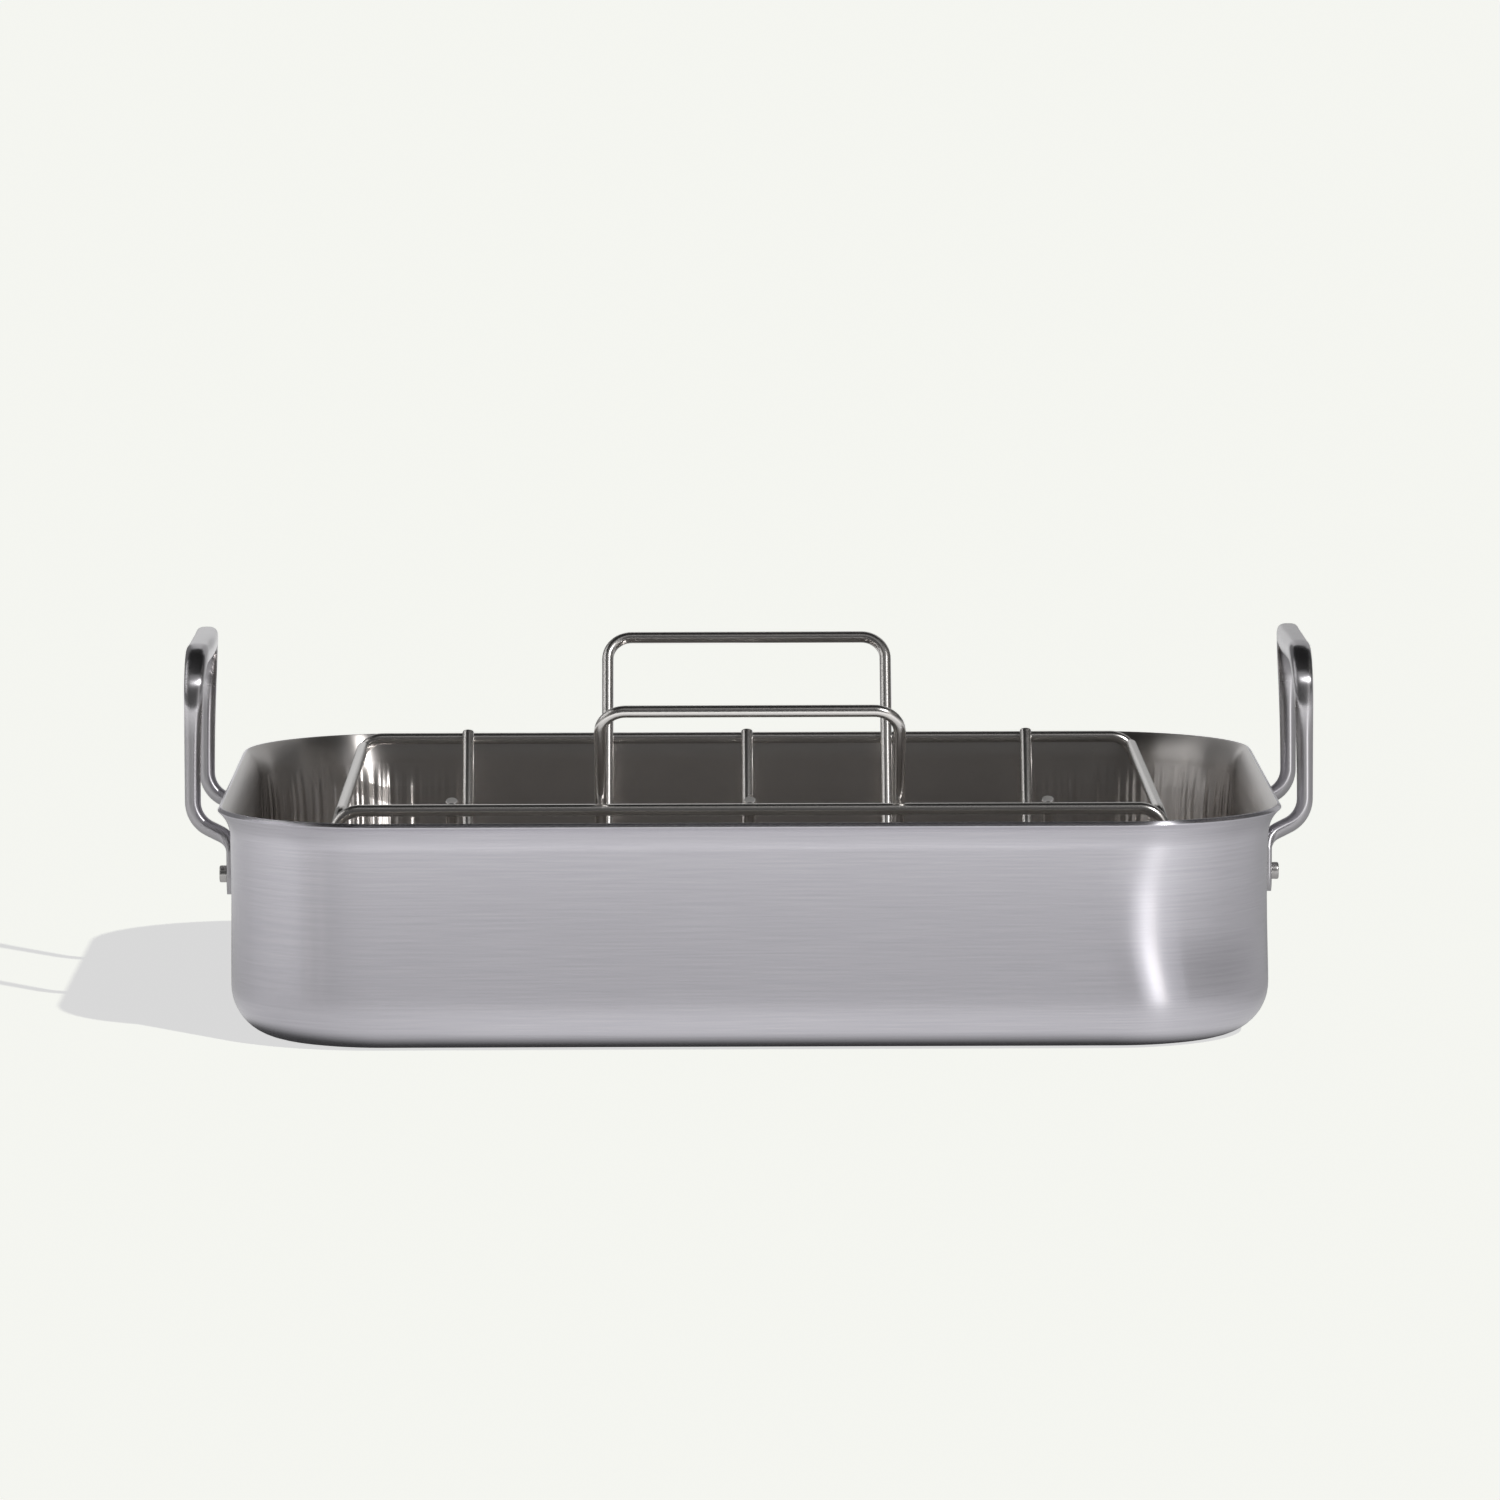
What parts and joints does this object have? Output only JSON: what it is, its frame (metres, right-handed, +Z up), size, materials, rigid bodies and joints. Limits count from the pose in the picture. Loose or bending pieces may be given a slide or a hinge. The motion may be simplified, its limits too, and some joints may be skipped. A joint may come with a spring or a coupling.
{
  "type": "roasting pan",
  "caption": "Rectangular stainless roasting pan with a flared lip, riveted upright loop handles and a lift-out V-sided wire rack whose handles rise over the long sides.",
  "frame": {"origin": "on the table under the middle of the pan's flat base", "axes": "+X along the pan's length towards the right handle, +Y across it towards the back, +Z up"},
  "size_m": [0.4518, 0.3302, 0.1496],
  "materials": {
    "clad_sheet": "satin",
    "handle_steel": "polished",
    "rivet_steel": "satin",
    "rack_wire": "polished"
  },
  "bodies": {
    "pan": {"pan_body": "clad_sheet", "right_handle": "handle_steel", "left_handle": "handle_steel", "right_front_rivet": "rivet_steel", "right_back_rivet": "rivet_steel", "left_front_rivet": "rivet_steel", "left_back_rivet": "rivet_steel"},
    "rack": {"rack_ring": "rack_wire", "rack_left_wire": "rack_wire", "rack_centre_wire": "rack_wire", "rack_right_wire": "rack_wire", "rack_handle_wire": "rack_wire"}
  },
  "joints": [
    {"name": "rack_lift", "type": "slide", "parent": "pan", "child": "rack", "axis": [0, 0, 1], "range_m": [0, 0.15]}
  ]
}
